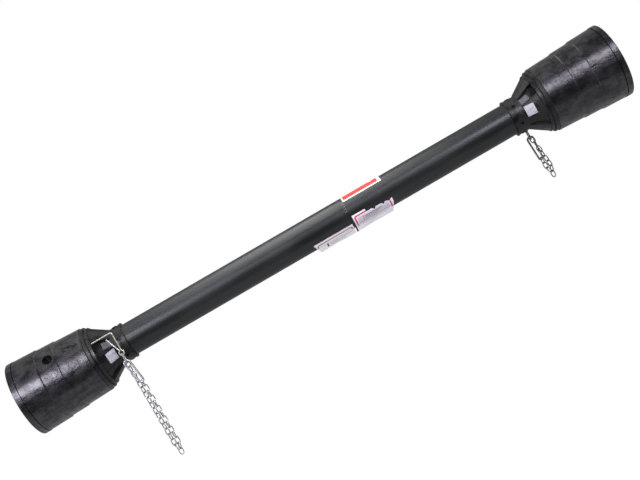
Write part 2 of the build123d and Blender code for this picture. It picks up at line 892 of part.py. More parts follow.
def chain_places(place):
    """Link places above and below the chain's bend line."""
    back_count = place.outgoing + hook_pitches
    middle = place.knee - strand_spacing / 2
    out_places, out_foot = strand(
        place,
        place.outgoing_top(),
        (place.knee, out_knee_shift),
        middle + foot_half_spacing,
        place.outgoing,
        out_first_turn,
    )
    back_places, back_foot = strand(
        place,
        place.return_top(),
        (place.knee - strand_spacing, -back_knee_shift),
        middle - foot_half_spacing,
        back_count,
        back_first_turn,
    )
    rest = link_reach / 2 - 2 * link_wire_radius - foot_rest_gap
    centre = (out_foot + back_foot) * 0.5 - Vector(0, 0, rest)
    last = Plane(origin=centre, x_dir=(0, 0, 1), z_dir=place.facing(place.last_turn + 90 * place.outgoing))
    split = place.upper + hook_pitches
    upper = out_places[: place.upper] + back_places[:split]
    lower = out_places[place.upper :] + back_places[split:] + [last]
    return upper, lower


def build_links(places):
    link = build_link(link_wire_radius, link_arc, link_straight)
    with BuildPart() as links:
        with Locations(*[place.location for place in places]):
            add(link)
    return links.part


def build_connector(place):
    """Long link between the clip's eye and what hangs on it."""
    link = build_link(connector_wire_radius, connector_arc_radius, connector_straight)
    centre = place.point(0, 0, place.connector_top - connector_arc_radius - connector_straight / 2)
    with BuildPart() as connector:
        with Locations(Plane(origin=centre, x_dir=(0, 0, 1), z_dir=(1, 0, 0)).location):
            add(link)
    return connector.part


def build_clip(place):
    """Bent wire clip: a tail in the flange, a leg beside the rib, an eye, and a springy free leg."""
    tail_start = third_end + flange_length + shoulder_length - clip_tail_length
    towards_tail = abs(place.end.x(tail_start) - place.eye_x)
    neck, half = clip_neck_half_width, clip_eye_half_width
    eye = [
        (neck, clip_eye_height),
        (half, 0.7 * clip_eye_height),
        (half, 0.26 * clip_eye_height),
        (0.36 * half, 0),
        (-0.36 * half, 0),
        (-half, 0.26 * clip_eye_height),
        (-half, 0.7 * clip_eye_height),
        (-neck, clip_eye_height),
    ]
    outline = [(-towards_tail, clip_drop), (neck, clip_drop), *eye, (-clip_tip_back, clip_tip_rise)]
    points = [place.point(u, 0, place.eye_bottom + v) for u, v in outline]
    bends = [clip_corner_bend] + [clip_eye_bend] * len(eye)
    with BuildPart() as clip:
        with BuildLine() as wire:
            FilletPolyline(*points, radius=bends)
        with BuildSketch(Plane(origin=wire.line @ 0, z_dir=wire.line % 0)):
            RegularPolygon(clip_wire_radius, 8, major_radius=False)
        sweep()
    return clip.part


class HookShape:
    """Outline of a snap hook between its head and tail bends, with the gate on the bell's side."""

    def __init__(self, place):
        self.head = place.hook_head()
        self.tail = place.hook_tail()
        self.down = (self.tail - self.head).normalized()
        self.length = (self.tail - self.head).length
        self.facing = Vector(0, -1, 0)
        bell_side = self.facing.cross(self.down)
        if bell_side.X * place.end.inward > 0:
            bell_side = bell_side * -1
        self.bell_side = bell_side
        tilt = asin((hook_head_radius - hook_tail_radius) / self.length)
        self.gate_normal = bell_side * cos(tilt) + self.down * sin(tilt)
        self.spine_normal = bell_side * -cos(tilt) + self.down * sin(tilt)
        self.gate_top = self.head + self.gate_normal * hook_head_radius
        self.gate_bottom = self.tail + self.gate_normal * hook_tail_radius
        self.gate_line = (self.gate_top - self.gate_bottom).normalized()
        gate_length = (self.gate_top - self.gate_bottom).length
        self.gate_pivot = self.gate_bottom + self.gate_line * (gate_pivot_share * gate_length)

    def head_point(self, angle):
        """Point on the head bend, at an angle from the bell's side over the top."""
        a = radians(angle)
        return self.head + (self.bell_side * cos(a) - self.down * sin(a)) * hook_head_radius


def build_snap_hook(place):
    """Snap hook of bent wire, with two cheeks and a pin that carry its gate."""
    shape = HookShape(place)
    spine_top = shape.head + shape.spine_normal * hook_head_radius
    spine_bottom = shape.tail + shape.spine_normal * hook_tail_radius
    leg_end = shape.gate_pivot - shape.gate_line * gate_leg_gap
    cheek_centre = shape.gate_pivot - shape.gate_line * (gate_leg_gap / 2 + hook_wire_radius / 2)
    with BuildPart() as hook:
        with BuildLine() as wire:
            ThreePointArc(shape.head_point(nose_angle), shape.head_point(90), spine_top)
            Line(spine_top, spine_bottom)
            ThreePointArc(spine_bottom, shape.tail + shape.down * hook_tail_radius, shape.gate_bottom)
            Line(shape.gate_bottom, leg_end)
        with BuildSketch(Plane(origin=wire.line @ 0, z_dir=wire.line % 0)):
            Circle(hook_wire_radius)
        sweep()
        for side in (-1, 1):
            inner = side * (gate_barrel_length / 2 + pin_gap)
            face = Plane(origin=cheek_centre, x_dir=shape.gate_line, z_dir=shape.facing).offset(inner)
            with BuildSketch(face):
                SlotCenterToCenter(gate_leg_gap + hook_wire_radius, 2 * gate_barrel_radius)
            extrude(amount=side * gate_cheek_thickness)
        with BuildSketch(Plane(origin=shape.gate_pivot, z_dir=shape.facing)):
            Circle(gate_pin_radius)
        extrude(amount=gate_barrel_length / 2 + pin_gap + gate_cheek_thickness, both=True)
    return hook.part


def build_gate(place):
    """Gate of the snap hook: a barrel on the hook's pin and a straight wire up to the nose."""
    shape = HookShape(place)
    with BuildPart() as gate:
        with BuildSketch(Plane(origin=shape.gate_pivot, z_dir=shape.facing)):
            Circle(gate_barrel_radius)
        extrude(amount=gate_barrel_length / 2, both=True)
        with BuildSketch(Plane(origin=shape.gate_pivot, z_dir=shape.gate_line)):
            Circle(gate_wire_radius)
        extrude(amount=(shape.gate_top - shape.gate_pivot).length)
        with BuildSketch(Plane(origin=shape.gate_pivot, z_dir=shape.facing)):
            Circle(gate_pin_radius + pin_gap)
        extrude(amount=gate_barrel_length, both=True, mode=Mode.SUBTRACT)
    return gate.part


def build_end(end, collar_angle, flat, corner, chain):
    """Every sub-part that both ends of the shaft have."""
    upper_places, lower_places = chain_places(chain)
    keep(f"{end.name}_bell", build_bell(end, end is tractor_end))
    keep(f"{end.name}_collar", build_collar(end, collar_angle, chain.clip_angle))
    keep(f"{end.name}_bearing_ring", build_bearing_ring(end, collar_angle))
    keep(f"{end.name}_end_yoke", build_end_yoke(end))
    keep(f"{end.name}_end_yoke_cups", build_cups(end, end_yoke_trunnion))
    keep(f"{end.name}_end_yoke_circlips", build_circlips(end, end_yoke_trunnion))
    keep(f"{end.name}_push_pin", build_push_pin(end))
    keep(f"{end.name}_pin_spring", build_pin_spring(end))
    keep(f"{end.name}_spring_plug", build_spring_plug(end))
    keep(f"{end.name}_cross", build_cross(end))
    keep(f"{end.name}_cross_seals", build_cross_seals(end))
    keep(f"{end.name}_grease_nipple", build_nipple(end))
    keep(f"{end.name}_tube_yoke", build_tube_yoke(end, flat, corner))
    keep(f"{end.name}_tube_yoke_cups", build_cups(end, tube_yoke_trunnion))
    keep(f"{end.name}_tube_yoke_circlips", build_circlips(end, tube_yoke_trunnion))
    keep(f"{end.name}_tube_pin", build_tube_pin(end))
    keep(f"{end.name}_chain_clip", build_clip(chain))
    keep(f"{end.name}_chain_connector", build_connector(chain))
    keep(f"{end.name}_snap_hook", build_snap_hook(chain))
    keep(f"{end.name}_hook_gate", build_gate(chain))
    keep(f"{end.name}_chain_upper", build_links(upper_places))
    keep(f"{end.name}_chain_lower", build_links(lower_places))


tractor_chain = ChainPlace(
    tractor_end,
    tractor_clip_angle,
    tractor_clip_station,
    tractor_hook_lean,
    tractor_knee,
    tractor_last_turn,
    tractor_outgoing_links,
    tractor_upper_links,
)
implement_chain = ChainPlace(
    implement_end,
    implement_clip_angle,
    implement_clip_station,
    implement_hook_lean,
    implement_knee,
    implement_last_turn,
    implement_outgoing_links,
    implement_upper_links,
)
build_end(tractor_end, tractor_collar_angle, profile_flat, profile_corner, tractor_chain)
build_end(implement_end, implement_collar_angle, inner_profile_flat, inner_profile_corner, implement_chain)

tractor_profile_x = tractor_end.x(hub_end_station - pocket_depth) + profile_start_gap
implement_profile_x = implement_end.x(hub_end_station - pocket_depth) - profile_start_gap
keep(
    "outer_profile_tube",
    build_profile_tube(
        tractor_profile_x,
        implement_end.x(hub_end_station) - outer_profile_end_gap,
        profile_flat,
        profile_corner,
        tractor_end.x(tube_pin_station),
    ),
)
keep(
    "inner_profile_tube",
    build_profile_tube(
        tractor_profile_x + inner_profile_end_gap,
        implement_profile_x,
        inner_profile_flat,
        inner_profile_corner,
        implement_end.x(tube_pin_station),
    ),
)

tractor_tube_x = tractor_end.x(tube_stop_station)
implement_tube_x = implement_end.x(tube_stop_station)
guard_split = guard_joint_x + guard_joint_gap
inner_guard_radius = guard_tube_radius - guard_tube_wall - running_gap
keep(
    "tractor_guard_tube",
    build_tube(tractor_tube_x, guard_joint_x, guard_tube_radius, guard_tube_wall),
)
keep(
    "implement_guard_tube",
    build_tube(guard_split, implement_tube_x, guard_tube_radius, guard_tube_wall),
)
keep(
    "inner_guard_tube",
    build_tube(
        tractor_tube_x + inner_guard_end_gap,
        implement_tube_x,
        inner_guard_radius,
        inner_guard_wall,
    ),
)

os.makedirs("parts", exist_ok=True)
for name, part in pieces.items():
    export_step(part, f"parts/{name}.step")
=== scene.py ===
import json
import math

import bmesh
import bpy
import numpy as np
from mathutils import Matrix, Vector


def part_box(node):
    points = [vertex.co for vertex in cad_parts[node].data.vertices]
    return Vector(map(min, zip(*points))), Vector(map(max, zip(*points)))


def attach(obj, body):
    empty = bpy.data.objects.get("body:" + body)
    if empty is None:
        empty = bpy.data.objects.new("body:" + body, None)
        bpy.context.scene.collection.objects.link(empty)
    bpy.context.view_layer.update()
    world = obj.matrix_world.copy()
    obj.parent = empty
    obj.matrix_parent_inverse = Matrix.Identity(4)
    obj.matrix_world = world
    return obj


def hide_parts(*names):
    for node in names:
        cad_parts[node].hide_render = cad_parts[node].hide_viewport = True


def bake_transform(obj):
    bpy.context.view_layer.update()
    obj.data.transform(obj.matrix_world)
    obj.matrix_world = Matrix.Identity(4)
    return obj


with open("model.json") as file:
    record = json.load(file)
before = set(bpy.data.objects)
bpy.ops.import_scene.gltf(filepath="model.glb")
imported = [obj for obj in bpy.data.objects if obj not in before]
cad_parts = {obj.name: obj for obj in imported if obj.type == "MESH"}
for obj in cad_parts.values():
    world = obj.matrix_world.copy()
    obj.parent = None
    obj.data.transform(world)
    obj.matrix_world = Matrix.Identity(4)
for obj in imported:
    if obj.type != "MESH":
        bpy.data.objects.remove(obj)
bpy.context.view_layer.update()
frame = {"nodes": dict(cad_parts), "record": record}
bpy.ops.object.select_all(action="DESELECT")
print("frame loaded with", len(frame["nodes"]), "nodes")

shaftEnds = ("tractor", "implement")
shaftMiddle = 0.7  # metres along the shaft, past which a finish takes the implement end's look
closeEnough = 1e-6  # metres within which two points count as one
millimetresInMetre = 1000


# Shader maths: a socket that can be added, multiplied and compared
class Wire:
    def __init__(self, finish, socket):
        self.finish = finish
        self.socket = socket

    def maths(self, operation, first, second=0.0):
        return self.finish.node("Math", {"operation": operation}, {0: first, 1: second})

    def __add__(self, other):
        return self.maths("ADD", self, other)

    def __radd__(self, other):
        return self.maths("ADD", other, self)

    def __sub__(self, other):
        return self.maths("SUBTRACT", self, other)

    def __rsub__(self, other):
        return self.maths("SUBTRACT", other, self)

    def __mul__(self, other):
        return self.maths("MULTIPLY", self, other)

    def __rmul__(self, other):
        return self.maths("MULTIPLY", other, self)

    def __truediv__(self, other):
        return self.maths("DIVIDE", self, other)

    def __gt__(self, other):
        return self.maths("GREATER_THAN", self, other)

    def __lt__(self, other):
        return self.maths("LESS_THAN", self, other)

    def __abs__(self):
        return self.maths("ABSOLUTE", self)

    def most(self, other):
        return self.maths("MAXIMUM", self, other)


# One material: fixed values sit on the shader's own sockets, and feed links what varies
class Finish:
    def __init__(self, name, fixed):
        self.material = bpy.data.materials.new(name)
        self.material.use_nodes = True
        self.tree = self.material.node_tree
        self.shader = self.tree.nodes["Principled BSDF"]
        for socket, value in fixed.items():
            self.shader.inputs[socket].default_value = value
        self.place = self.node("TexCoord", {}, {}, "Object")

    def node(self, kind, settings, sockets, output=0):
        made = self.tree.nodes.new("ShaderNode" + kind)
        for name, value in settings.items():
            setattr(made, name, value)
        for name, value in sockets.items():
            if isinstance(value, Wire):
                self.tree.links.new(value.socket, made.inputs[name])
            else:
                made.inputs[name].default_value = value
        return Wire(self, made.outputs[output])

    def noise(self, scale, detail, stretch=(1, 1, 1), shift=(0, 0, 0), rough=0.55):
        spot = self.node("Mapping", {}, {"Vector": self.place, "Scale": stretch, "Location": shift})
        sockets = {"Vector": spot, "Scale": scale, "Detail": detail, "Roughness": rough}
        return self.node("TexNoise", {}, sockets)

    def cells(self, scale):
        return self.node("TexVoronoi", {}, {"Vector": self.place, "Scale": scale})

    def step(self, value, low, high):
        sockets = {"Value": value, "From Min": low, "From Max": high}
        return self.node("MapRange", {"interpolation_type": "SMOOTHSTEP"}, sockets)

    def mix(self, factor, first, second):
        sockets = {0: factor, 6: first, 7: second}  # 6, 7 and output 2 are the colour ones
        return self.node("Mix", {"data_type": "RGBA"}, sockets, 2)

    def axis(self, which, place=None):
        return self.node("SeparateXYZ", {}, {0: place or self.place}, which)

    def bump(self, height, distance):
        return self.node("Bump", {}, {"Height": height, "Distance": distance, "Strength": 1.0})

    def band(self, value, low, high, blur):
        rise = self.step(value, low - blur, low + blur)
        return rise * (1 - self.step(value, high - blur, high + blur))

    def box(self, across, down, left, top, right, bottom, blur):
        return self.band(across, left, right, blur) * self.band(down, top, bottom, blur)

    def roundFrame(self, across, down, sides, radius, width, blur):
        left, top, right, bottom = sides
        outX = (abs(across - (left + right) / 2) - ((right - left) / 2 - radius)).most(0)
        outY = (abs(down - (top + bottom) / 2) - ((bottom - top) / 2 - radius)).most(0)
        away = self.node("Math", {"operation": "SQRT"}, {0: outX * outX + outY * outY})
        return 1 - self.step(abs(away - radius), width / 2 - blur, width / 2 + blur)

    def feed(self, **links):
        for name, value in links.items():
            socket = self.shader.inputs[name.replace("_", " ")]
            self.tree.links.new(value.socket, socket)
        return self.material


def shade(value, tint=(1.0, 1.0, 1.0)):
    return (value * tint[0], value * tint[1], value * tint[2], 1.0)


def between(span, share):
    low, high = span
    return low + (high - low) * share


# In each finish a Span is the range over which a noise comes in, a Share is how strongly it then
# shows, and a Relief is its part in the bump, which is relief metres deep

# Moulded black polyethylene of the bells: clouded, hazed by handling, shiny in patches
bellFinish = {
    "fixed": {
        "Specular IOR Level": 0.5,
        "Specular Tint": (0.95, 0.91, 1.0, 1.0),
        "Coat Roughness": 0.24,
    },
    "deep": shade(0.0034, (1.0, 0.97, 1.08)),
    "worn": shade(0.0085, (1.0, 0.96, 1.10)),
    "haze": shade(0.024, (1.0, 0.96, 1.10)),
    "cloud": {"scale": 26.0, "detail": 4.0},
    "swirl": {"scale": 75.0, "detail": 5.0, "stretch": (0.5, 1, 1)},
    "scuff": {
        "scale": 55.0,
        "detail": 6.0,
        "stretch": (2.4, 0.7, 0.7),
        "shift": (3, 1, 2),
        "rough": 0.7,
    },
    "grain": {"scale": 900.0, "detail": 2.0},
    "wornSpan": (0.38, 0.66),
    "scuffSpan": (0.56, 0.74),
    "hazeSpan": (0.4, 0.65),
    "hazeShare": 0.55,
    "rough": (0.27, 0.46),
    "roughSpan": (0.35, 0.68),
    "coatSwirl": 0.6,
    "coatScuff": 0.4,
    "coatSpan": (0.40, 0.62),
    "coatShare": 0.9,
    "swirlRelief": 0.6,
    "cloudRelief": 0.9,
    "grainRelief": 0.05,
    "relief": 0.0022,
}


def bellPlastic():
    look = bellFinish
    finish = Finish("bellPlastic", look["fixed"])
    cloud = finish.noise(**look["cloud"])
    swirl = finish.noise(**look["swirl"])
    scuff = finish.noise(**look["scuff"])
    grain = finish.noise(**look["grain"])
    worn = finish.step(cloud, *look["wornSpan"])
    haze = finish.step(scuff, *look["scuffSpan"]) * finish.step(swirl, *look["hazeSpan"])
    colour = finish.mix(worn, look["deep"], look["worn"])
    colour = finish.mix(haze * look["hazeShare"], colour, look["haze"])
    rough = between(look["rough"], finish.step(swirl, *look["roughSpan"]))
    height = swirl * look["swirlRelief"] + cloud * look["cloudRelief"] + grain * look["grainRelief"]
    normal = finish.bump(height, look["relief"])
    shine = swirl * look["coatSwirl"] + scuff * look["coatScuff"]
    coat = finish.step(shine, *look["coatSpan"]) * look["coatShare"]
    return finish.feed(Base_Color=colour, Roughness=rough, Coat_Weight=coat, Normal=normal)


# Black polypropylene of the collars: duller than the bells, with fine grey specks
collarFinish = {
    "fixed": {"Specular IOR Level": 0.42},
    "deep": shade(0.0030, (1.0, 0.98, 1.03)),
    "worn": shade(0.0080, (1.0, 0.98, 1.04)),
    "speck": shade(0.055, (1.0, 0.98, 1.04)),
    "cloud": {"scale": 48.0, "detail": 5.0},
    "specks": {"scale": 420.0, "detail": 3.0, "shift": (5, 2, 1), "rough": 0.7},
    "grain": {"scale": 1300.0, "detail": 2.0},
    "wornSpan": (0.4, 0.68),
    "speckSpan": (0.6, 0.72),
    "speckShare": 0.5,
    "rough": (0.30, 0.52),
    "roughSpan": (0.35, 0.65),
    "cloudRelief": 0.5,
    "grainRelief": 0.08,
    "relief": 0.0009,
}


def collarPlastic():
    look = collarFinish
    finish = Finish("collarPlastic", look["fixed"])
    cloud = finish.noise(**look["cloud"])
    specks = finish.noise(**look["specks"])
    grain = finish.noise(**look["grain"])
    colour = finish.mix(finish.step(cloud, *look["wornSpan"]), look["deep"], look["worn"])
    specks = finish.step(specks, *look["speckSpan"])
    colour = finish.mix(specks * look["speckShare"], colour, look["speck"])
    rough = between(look["rough"], finish.step(cloud, *look["roughSpan"]))
    normal = finish.bump(cloud * look["cloudRelief"] + grain * look["grainRelief"], look["relief"])
    return finish.feed(Base_Color=colour, Roughness=rough, Normal=normal)


# Extruded charcoal guard tubes: die lines along them, faint rubs, and pale crumbs on the seam's
# upper side, a painted glint of the cut tube edge
tubeFinish = {
    "fixed": {"Specular IOR Level": 0.5, "Specular Tint": (0.93, 0.98, 1.0, 1.0)},
    "deep": shade(0.0060, (0.97, 1.0, 1.0)),
    "worn": shade(0.0120, (0.96, 1.0, 1.0)),
    "rub": shade(0.032, (0.97, 1.0, 1.0)),
    "seamGlint": shade(0.34, (1.0, 0.98, 0.96)),
    "lines": {"scale": 420.0, "detail": 2.0, "stretch": (0.012, 1, 1)},
    "cloud": {"scale": 14.0, "detail": 4.0, "stretch": (0.5, 1, 1)},
    "rubs": {
        "scale": 120.0,
        "detail": 5.0,
        "stretch": (0.12, 1, 1),
        "shift": (1, 4, 2),
        "rough": 0.7,
    },
    "glintSpecks": {"scale": 620.0, "detail": 2.0},
    "wornSpan": (0.35, 0.68),
    "rubSpan": (0.62, 0.78),
    "rubShare": 0.6,
    "glintSpeckSpan": (0.54, 0.62),
    # Box of the painted glint on the upper side of the seam
    "seamGlintBox": (0.7652, 0.002, 0.7694, 0.026),  # lowest along and up, then highest
    "seamGlintBlur": 0.0006,
    "rough": (0.34, 0.44),
    "roughSpan": (0.8, 1.25),
    "lineRelief": 0.25,
    "cloudRelief": 0.3,
    "relief": 0.0006,
}


def tubePlastic():
    look = tubeFinish
    finish = Finish("tubePlastic", look["fixed"])
    lines = finish.noise(**look["lines"])
    cloud = finish.noise(**look["cloud"])
    rubs = finish.noise(**look["rubs"])
    colour = finish.mix(finish.step(cloud, *look["wornSpan"]), look["deep"], look["worn"])
    rubs = finish.step(rubs, *look["rubSpan"])
    colour = finish.mix(rubs * look["rubShare"], colour, look["rub"])
    # Pale crumbs in that box paint the glint of the cut tube edge catching the light
    glintSpecks = finish.step(finish.noise(**look["glintSpecks"]), *look["glintSpeckSpan"])
    seamGlintMask = finish.box(finish.axis(0), finish.axis(2), *look["seamGlintBox"], look["seamGlintBlur"])
    colour = finish.mix(seamGlintMask * glintSpecks, colour, look["seamGlint"])
    rough = between(look["rough"], finish.step(lines + cloud, *look["roughSpan"]))
    normal = finish.bump(lines * look["lineRelief"] + cloud * look["cloudRelief"], look["relief"])
    return finish.feed(Base_Color=colour, Roughness=rough, Normal=normal)


# Pale nylon of the bearing rings, with a lilac cast: soiled panels, and a painted shade on the lugs
# in the pockets between them
nylonFinish = {
    "fixed": {"Specular IOR Level": 0.4},
    "clean": shade(0.47, (0.97, 0.93, 1.04)),
    "soiled": shade(0.29, (0.98, 0.93, 1.05)),
    # Painted shade for the lugs in the pockets
    "pocket": shade(0.075, (0.98, 0.96, 1.04)),
    "cloud": {"scale": 160.0, "detail": 4.0},
    "specks": {"scale": 700.0, "detail": 2.0},
    "soilCloud": 0.7,
    "soilSpecks": 0.3,
    "soilSpan": (0.42, 0.66),
    "panels": 5,
    "tractorTurn": -15.0,
    "implementTurn": -6.0,
    "rough": (0.38, 0.58),
    "relief": 0.0003,
}


def nylon():
    look = nylonFinish
    finish = Finish("nylon", look["fixed"])
    cloud = finish.noise(**look["cloud"])
    specks = finish.noise(**look["specks"])
    soil = cloud * look["soilCloud"] + specks * look["soilSpecks"]
    soil = finish.step(soil, *look["soilSpan"])
    colour = finish.mix(soil, look["clean"], look["soiled"])
    # The angle round the shaft picks out the pockets between the panels, and their lugs get the
    # painted shade
    sides = {0: finish.axis(2), 1: 0 - finish.axis(1)}
    around = finish.node("Math", {"operation": "ARCTAN2"}, sides)
    tractorTurn = math.radians(look["tractorTurn"])
    further = math.radians(look["implementTurn"] - look["tractorTurn"])
    turned = around - tractorTurn - (finish.axis(0) > shaftMiddle) * further
    facing = finish.node("Math", {"operation": "COSINE"}, {0: turned * look["panels"]})
    colour = finish.mix(facing < 0, colour, look["pocket"])
    rough = between(look["rough"], soil)
    normal = finish.bump(cloud, look["relief"])
    return finish.feed(Base_Color=colour, Roughness=rough, Normal=normal)


# Forged yokes: dark mill scale worn bare in places, with small hollows
forgedFinish = {
    "fixed": {"Metallic": 0.75},
    "millScale": shade(0.055, (1.0, 0.98, 0.95)),
    "bare": shade(0.16, (1.0, 0.99, 0.97)),
    "cloud": {"scale": 60.0, "detail": 5.0},
    "pitScale": 340.0,
    "bareSpan": (0.4, 0.7),
    "rough": (0.36, 0.64),
    "cloudRelief": 0.7,
    "pitRelief": 0.3,
    "relief": 0.0006,
}


def forgedSteel():
    look = forgedFinish
    finish = Finish("forgedSteel", look["fixed"])
    cloud = finish.noise(**look["cloud"])
    pits = finish.cells(look["pitScale"])
    colour = finish.mix(finish.step(cloud, *look["bareSpan"]), look["millScale"], look["bare"])
    rough = between(look["rough"], cloud)
    normal = finish.bump(cloud * look["cloudRelief"] + pits * look["pitRelief"], look["relief"])
    return finish.feed(Base_Color=colour, Roughness=rough, Normal=normal)


# Turned steel of the crosses, cups, push pins and plugs: fine lines and a thin oil film
brightFinish = {
    "fixed": {"Metallic": 1.0},
    "clean": shade(0.60),
    "oily": shade(0.38, (1.0, 0.97, 0.92)),
    "cloud": {"scale": 90.0, "detail": 4.0},
    "lines": {"scale": 1400.0, "detail": 2.0, "stretch": (1, 0.2, 0.2)},
    "oilySpan": (0.4, 0.72),
    "rough": (0.16, 0.34),
    "roughSpan": (0.8, 1.3),
    "relief": 0.00012,
}


def brightSteel():
    look = brightFinish
    finish = Finish("brightSteel", look["fixed"])
    cloud = finish.noise(**look["cloud"])
    lines = finish.noise(**look["lines"])
    colour = finish.mix(finish.step(cloud, *look["oilySpan"]), look["clean"], look["oily"])
    rough = between(look["rough"], finish.step(cloud + lines, *look["roughSpan"]))
    normal = finish.bump(lines, look["relief"])
    return finish.feed(Base_Color=colour, Roughness=rough, Normal=normal)


# Drawn profile tubes, tube pins and circlips: lines along them, an oil film and a little rust
drawnFinish = {
    "fixed": {"Metallic": 0.92},
    "bare": shade(0.34, (1.0, 1.0, 1.01)),
    "oily": shade(0.17, (1.0, 0.97, 0.9)),
    "rust": shade(0.16, (1.25, 0.72, 0.42)),
    "lines": {"scale": 380.0, "detail": 3.0, "stretch": (0.02, 1, 1)},
    "film": {"scale": 24.0, "detail": 4.0, "stretch": (0.4, 1, 1)},
    "spots": {"scale": 150.0, "detail": 6.0, "shift": (2, 7, 1), "rough": 0.7},
    "filmSpan": (0.4, 0.65),
    "rustSpan": (0.6, 0.72),
    "rustShare": 0.7,
    "rough": (0.26, 0.56),
    "roughSpan": (0.45, 0.7),
    "relief": 0.0003,
}


def drawnSteel():
    look = drawnFinish
    finish = Finish("drawnSteel", look["fixed"])
    lines = finish.noise(**look["lines"])
    film = finish.noise(**look["film"])
    spots = finish.noise(**look["spots"])
    colour = finish.mix(finish.step(film, *look["filmSpan"]), look["bare"], look["oily"])
    rust = finish.step(spots, *look["rustSpan"])
    colour = finish.mix(rust * look["rustShare"], colour, look["rust"])
    rough = between(look["rough"], finish.step(spots, *look["roughSpan"]))
    normal = finish.bump(lines, look["relief"])
    return finish.feed(Base_Color=colour, Roughness=rough, Normal=normal)


# Seals and grease nipples, small and mostly hidden: one cloud between two tones
rubberFinish = {
    "fixed": {"Specular IOR Level": 0.4},
    "tones": (shade(0.010), shade(0.028)),
    "cloud": {"scale": 220.0, "detail": 4.0},
    "toneSpan": (0.4, 0.7),
    "rough": (0.5, 0.7),
    "relief": 0.0002,
}
brassFinish = {
    "fixed": {"Metallic": 1.0},
    "tones": (shade(0.72, (1.0, 0.76, 0.38)), shade(0.34, (1.0, 0.72, 0.36))),
    "cloud": {"scale": 380.0, "detail": 4.0},
    "toneSpan": (0.42, 0.7),
    "rough": (0.2, 0.45),
    "relief": 0.00015,
}


def twoTones(name, look):
    finish = Finish(name, look["fixed"])
    cloud = finish.noise(**look["cloud"])
    colour = finish.mix(finish.step(cloud, *look["toneSpan"]), *look["tones"])
    rough = between(look["rough"], cloud)
    normal = finish.bump(cloud, look["relief"])
    return finish.feed(Base_Color=colour, Roughness=rough, Normal=normal)


# Zinc plating of chains, hooks and clips: bright with duller clouds, the clips a little yellowed
chainFinish = {
    "fixed": {"Metallic": 0.85},
    "bright": shade(0.60, (0.98, 1.0, 1.02)),
    "dull": shade(0.30, (0.98, 1.0, 1.02)),
    "cloud": {"scale": 260.0, "detail": 4.0},
    "fleck": {"scale": 1560.0, "detail": 3.0},
}
clipFinish = {
    "fixed": {"Metallic": 0.6},
    "bright": shade(0.58, (1.03, 0.99, 0.86)),
    "dull": shade(0.40, (1.04, 0.97, 0.80)),
    "cloud": {"scale": 240.0, "detail": 4.0},
    "fleck": {"scale": 1440.0, "detail": 3.0},
}
# What both platings share. At the implement end some dark grey is mixed in, a painted shade for the
# dimmer light there
platingLook = {
    # Dark grey of the painted shade at the implement end
    "dark": shade(0.06),
    "endShadeShare": 0.58,
    "dullCloud": 0.7,
    "dullFleck": 0.3,
    "dullSpan": (0.44, 0.64),
    "rough": (0.3, 0.5),
    "relief": 0.0001,
}


def zincPlate(name, metal):
    look = platingLook
    finish = Finish(name, metal["fixed"])
    cloud = finish.noise(**metal["cloud"])
    fleck = finish.noise(**metal["fleck"])
    patch = cloud * look["dullCloud"] + fleck * look["dullFleck"]
    patch = finish.step(patch, *look["dullSpan"])
    colour = finish.mix(patch, metal["bright"], metal["dull"])
    # Past the middle of the shaft, dark grey is mixed in as a painted shade
    shadedEnd = (finish.axis(0) > shaftMiddle) * look["endShadeShare"]
    colour = finish.mix(shadedEnd, colour, look["dark"])
    rough = between(look["rough"], patch)
    normal = finish.bump(fleck, look["relief"])
    return finish.feed(Base_Color=colour, Roughness=rough, Normal=normal)


finishes = {
    "bell_plastic": bellPlastic(),
    "collar_plastic": collarPlastic(),
    "tube_plastic": tubePlastic(),
    "nylon": nylon(),
    "yoke_steel": forgedSteel(),
    "bright_steel": brightSteel(),
    "profile_steel": drawnSteel(),
    "seal_rubber": twoTones("sealRubber", rubberFinish),
    "nipple_brass": twoTones("nippleBrass", brassFinish),
    "chain_zinc": zincPlate("chainZinc", chainFinish),
    "clip_zinc": zincPlate("clipZinc", clipFinish),
}
slotOf = {entry["node"]: entry["material_slot"] for entry in frame["record"]["subparts"]}


def dress(piece, slotName):
    piece.data.materials.clear()
    piece.data.materials.append(finishes[slotName])


for nodeName, node in frame["nodes"].items():
    dress(node, slotOf[nodeName])
print("finishes on", len(slotOf), "nodes")


# Chain links: round wire bent to a stadium, with a weld on one side
linkShape = {
    "length": 0.0174,
    "width": 0.0115,
    "wire": 0.0012,
    "bendSteps": 24,
    "wireSteps": 10,
    "sideShare": 0.8,  # an edge longer than this share of half the straight side belongs to it
    "sideCuts": 2,
    "weldReach": 0.4,
    "weldSwell": 1.16,
}
cadLinkPoints = 64  # points of a link that stands alone in the CAD
# The links round each chain's lowest one touch in the CAD: centre, length and width directions
footLinks = {
    "tractor_chain_lower": [
        ((0.22940, -0.05332, -0.22879), (0.003, 0.028, -1.0), (-0.831, -0.555, -0.018)),
        ((0.22777, -0.05188, -0.24085), (-0.231, 0.189, -0.954), (-0.549, 0.784, 0.289)),
        ((0.22005, -0.04854, -0.22882), (0.014, -0.007, -1.0), (-0.794, -0.608, -0.006)),
        ((0.22171, -0.04990, -0.24088), (0.234, -0.188, -0.954), (-0.550, 0.784, -0.289)),
        ((0.22475, -0.05089, -0.25203), (0.0, -0.001, 1.0), (-0.823, -0.567, 0.0)),
    ],
    "implement_chain_lower": [
        ((1.19150, 0.06147, -0.12389), (0.0, -0.116, -0.993), (-0.939, -0.342, 0.040)),
        ((1.19320, 0.05951, -0.13598), (0.227, -0.186, -0.956), (-0.331, 0.909, -0.255)),
        ((1.20039, 0.05616, -0.12370), (0.100, 0.009, -0.995), (-0.870, -0.485, -0.092)),
        ((1.19927, 0.05742, -0.13568), (-0.228, 0.188, -0.955), (-0.330, 0.908, 0.257)),
        ((1.19630, 0.05845, -0.14718), (0.004, -0.004, 1.0), (-0.940, -0.340, 0.002)),
    ],
}


